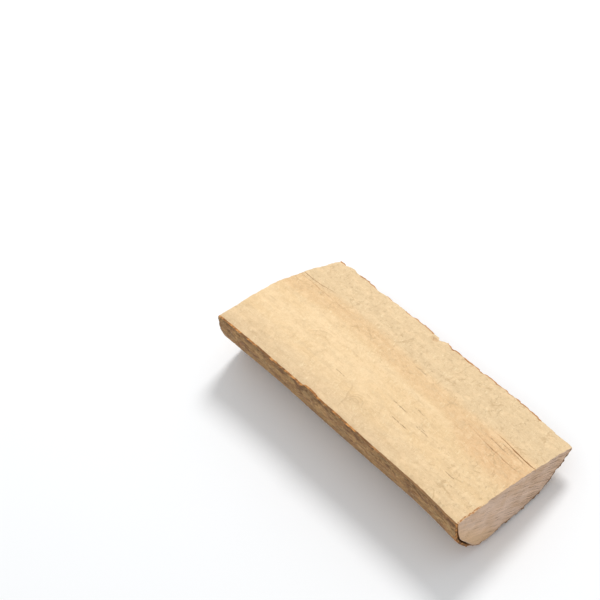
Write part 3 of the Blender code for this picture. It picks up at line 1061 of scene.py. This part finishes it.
def end_grain_material():
    nodes = Nodes("sawn_end")
    across, height, ring = nodes.field("across"), nodes.field("height"), nodes.field("ring")
    along_cut, over_cut = nodes.turned(across, height, -SAW_SLANT)

    def cut(length, width):
        return nodes.millimetres(along_cut, over_cut, 0.0, (length, width, 1.0))

    def flat(width, depth):
        return nodes.millimetres(across, height, 0.0, (width, depth, 1.0))

    saw = nodes.noise(cut(20.0, 0.9), 4.0, 0.6)
    band = nodes.noise(cut(50.0, 4.0), 3.0, 0.5)
    pores = nodes.noise(flat(0.9, 0.9), 3.0, 0.6)
    patches = nodes.noise(flat(22.0, 14.0), 3.0)
    wander = nodes.noise(flat(9.0, 9.0), 2.0)
    ring_place = nodes.scaled(wander, 1.2, nodes.times(ring, 1000.0))
    ring_wave = nodes.math("SINE", nodes.times(ring_place, math.tau / RING_WIDTH_MM))
    late = nodes.times(nodes.ramp(ring_wave, 0.2, 1.0, 0.0, 0.14),
                       nodes.ramp(patches, 0.40, 0.60))

    colour = nodes.mix(nodes.ramp(patches, 0.35, 0.65), END_PALE, END_DARKER)
    low_corner = nodes.scaled(across, 0.7, height)
    low = nodes.times(nodes.ramp(low_corner, -0.045, -0.075), 0.8)
    colour = nodes.mix(low, colour, END_LOW_CORNER)
    colour = nodes.mix(late, colour, LATE_WOOD)
    tone = nodes.times(nodes.ramp(saw, 0.30, 0.70, 0.90, 1.06),
                       nodes.ramp(band, 0.32, 0.68, 0.92, 1.06))
    tone = nodes.times(tone, nodes.ramp(pores, 0.30, 0.70, 0.93, 1.05))
    colour = nodes.tone(colour, tone)
    scores = nodes.noise(cut(22.0, 0.85), 2.0, 0.55)
    more_at_right = nodes.ramp(across, -0.070, 0.060, -0.035, 0.055)
    scores = nodes.math("ADD", scores, more_at_right)
    colour = nodes.lay(colour, scores, 0.56, 0.67, 0.72, SAW_SCORE)
    colour = nodes.lay(colour, nodes.field("crack"), 0.05, 0.6, 1.0, END_CRACK)
    relief = nodes.weighted((pores, 0.4), (saw, 1.0))
    roughness = nodes.ramp(saw, 0.3, 0.7, 0.72, 0.9)
    return nodes.finish(colour, roughness, relief, 0.00040, 0.25)


def under_bark_material():
    nodes = Nodes("bared_sapwood")
    along, across = nodes.field("along"), nodes.field("across")
    fibres = nodes.noise(nodes.millimetres(along, across, 0.0, (12.0, 0.6, 1.0)), 4.0, 0.6)
    patches = nodes.noise(nodes.millimetres(along, across, 0.0, (14.0, 7.0, 1.0)), 3.0)
    colour = nodes.mix(nodes.ramp(patches, 0.36, 0.62), SAPWOOD, SAPWOOD_STAIN)
    colour = nodes.lay(colour, fibres, 0.5, 0.72, 0.6, SAPWOOD_FIBRE)
    return nodes.finish(colour, 0.8, fibres, 0.0004, 0.3)


def bark_material():
    nodes = Nodes("bark")
    along, across = nodes.field("along"), nodes.field("across")

    def skin(length, width, detail=4.0, roughness=0.6, layer=0.0):
        place = nodes.millimetres(along, across, layer, (length, width, 1.0))
        return nodes.noise(place, detail, roughness)

    broad = skin(30.0, 16.0, 3.0, 0.55)
    colour = nodes.mix(nodes.ramp(broad, 0.36, 0.64), BARK, BARK_DARKER)
    bands = skin(14.0, 6.0)
    colour = nodes.lay(colour, bands, 0.52, 0.36, 0.74, BARK_BAND)
    ruddy = skin(16.0, 8.0, 3.0, 0.5, 4.0)
    colour = nodes.lay(colour, ruddy, 0.54, 0.68, 0.45, BARK_RUDDY)
    colour = nodes.lay(colour, ruddy, 0.46, 0.32, 0.40, BARK_GREY)
    streaks = skin(5.0, 1.6)
    colour = nodes.lay(colour, streaks, 0.52, 0.68, 0.7, BARK_STREAK)
    blotch = skin(5.5, 3.4)
    colour = nodes.lay(colour, blotch, 0.54, 0.68, 0.65, BARK_BLOTCH)
    colour = nodes.lay(colour, nodes.field("crack"), 0.25, 0.95, 0.5, BARK_FISSURE)
    grain = skin(1.5, 1.0, 4.0, 0.65)
    colour = nodes.tone(colour, nodes.ramp(grain, 0.32, 0.68, 0.72, 1.18))
    below_rim = nodes.ramp(across, LEFT_RIM_ARC + 0.0080, LEFT_RIM_ARC, 0.0, 0.55)
    ragged = nodes.times(below_rim, nodes.ramp(blotch, 0.62, 0.42))
    colour = nodes.mix(ragged, colour, BARK_BELOW_RIM)
    colour = nodes.lay(colour, nodes.field("worn"), 0.02, 0.5, 1.0, BARK_TORN)
    colour = nodes.mix(nodes.times(nodes.field("stripe"), 0.8), colour, BARE_RIM)
    relief = nodes.weighted((grain, 0.6), (blotch, 0.5))
    roughness = nodes.ramp(grain, 0.3, 0.7, 0.78, 0.94)
    return nodes.finish(colour, roughness, relief, 0.0009, 0.2)


def inner_bark_material():
    nodes = Nodes("inner_bark")
    along, across, height = nodes.field("along"), nodes.field("across"), nodes.field("height")
    blotch = nodes.noise(nodes.millimetres(along, across, height, (5.0, 2.0, 2.0)), 4.0, 0.6)
    fibres = nodes.noise(nodes.millimetres(along, across, height, (3.0, 0.5, 0.5)), 3.0, 0.6)
    patches = nodes.noise(nodes.millimetres(along, across, height, (16.0, 6.0, 6.0)), 3.0, 0.6)
    colour = nodes.mix(nodes.ramp(blotch, 0.44, 0.62), INNER_BARK, INNER_BARK_BLOTCH)
    colour = nodes.lay(colour, patches, 0.44, 0.56, 0.85, INNER_BARK_PATCH)
    colour = nodes.lay(colour, fibres, 0.55, 0.70, 0.6, INNER_BARK_FIBRE)
    weathered = nodes.times(nodes.ramp(along, 0.040, 0.075, 0.0, 0.85),
                            nodes.ramp(along, 0.1668, 0.1655))
    colour = nodes.mix(weathered, colour, WEATHERED_RIM)
    colour = nodes.mix(nodes.times(nodes.field("stripe"), 0.8), colour, BARE_RIM)
    return nodes.finish(colour, 0.85, fibres, 0.0006, 0.2)


# ---------------- camera, lights and floor
CAMERA_FROM = (0.832, -0.922, 1.169)      # in the grain frame
CAMERA_FORWARD = (-0.5462, 0.5204, -0.6564)
CAMERA_UP = (-0.5371, 0.3837, 0.7512)
CAMERA_LENS = 108.0
SENSOR = 36.0


def add_camera():
    data = bpy.data.cameras.new("camera")
    data.lens = CAMERA_LENS
    data.sensor_width = SENSOR
    data.sensor_fit = "HORIZONTAL"
    camera = bpy.data.objects.new("camera", data)
    roll = Matrix.Rotation(-RESTING_ROLL, 3, "X")
    back = -(roll @ Vector(CAMERA_FORWARD)).normalized()
    up = roll @ Vector(CAMERA_UP)
    right = up.cross(back).normalized()
    up = back.cross(right)
    turn = Matrix((right, up, back)).transposed().to_4x4()
    place = to_row_frame(np.array([CAMERA_FROM]))[0]
    camera.matrix_world = Matrix.Translation(Vector(place)) @ turn
    bpy.context.scene.collection.objects.link(camera)
    bpy.context.scene.camera = camera


def add_softbox(name, direction, distance, size, power):
    data = bpy.data.lights.new(name, "AREA")
    data.shape = "DISK"
    data.size = size
    data.energy = power
    lamp = bpy.data.objects.new(name, data)
    away = Vector(direction).normalized()
    lamp.location = away * distance
    lamp.rotation_euler = away.to_track_quat("Z", "Y").to_euler()
    bpy.context.scene.collection.objects.link(lamp)


def add_studio():
    scene = bpy.context.scene
    scene.view_settings.view_transform = "Standard"
    world = bpy.data.worlds.new("studio")
    world.use_nodes = True
    background = world.node_tree.nodes["Background"]
    background.inputs["Color"].default_value = (0.96, 0.98, 1.0, 1.0)
    background.inputs["Strength"].default_value = 0.75
    scene.world = world
    add_softbox("key", (-0.30, 0.55, 0.80), 2.5, 0.8, 36.0)

    bpy.ops.mesh.primitive_plane_add(size=12.0)
    floor = bpy.context.object
    floor.name = "floor"
    nodes = Nodes("pale_floor")
    nodes.shader.inputs["Base Color"].default_value = (0.90, 0.90, 0.90, 1.0)
    nodes.shader.inputs["Roughness"].default_value = 0.9
    nodes.shader.inputs["Specular IOR Level"].default_value = 0.0
    floor.data.materials.append(nodes.material)


def main():
    wood = make_piece("split_log_wood", build_wood(),
                      (split_wood_material(), end_grain_material(), under_bark_material()))
    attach(wood, "root")
    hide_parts("split_log")
    bark = make_piece("split_log_bark", build_bark(), (bark_material(), inner_bark_material()))
    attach(bark, "root")
    add_camera()
    add_studio()


main()
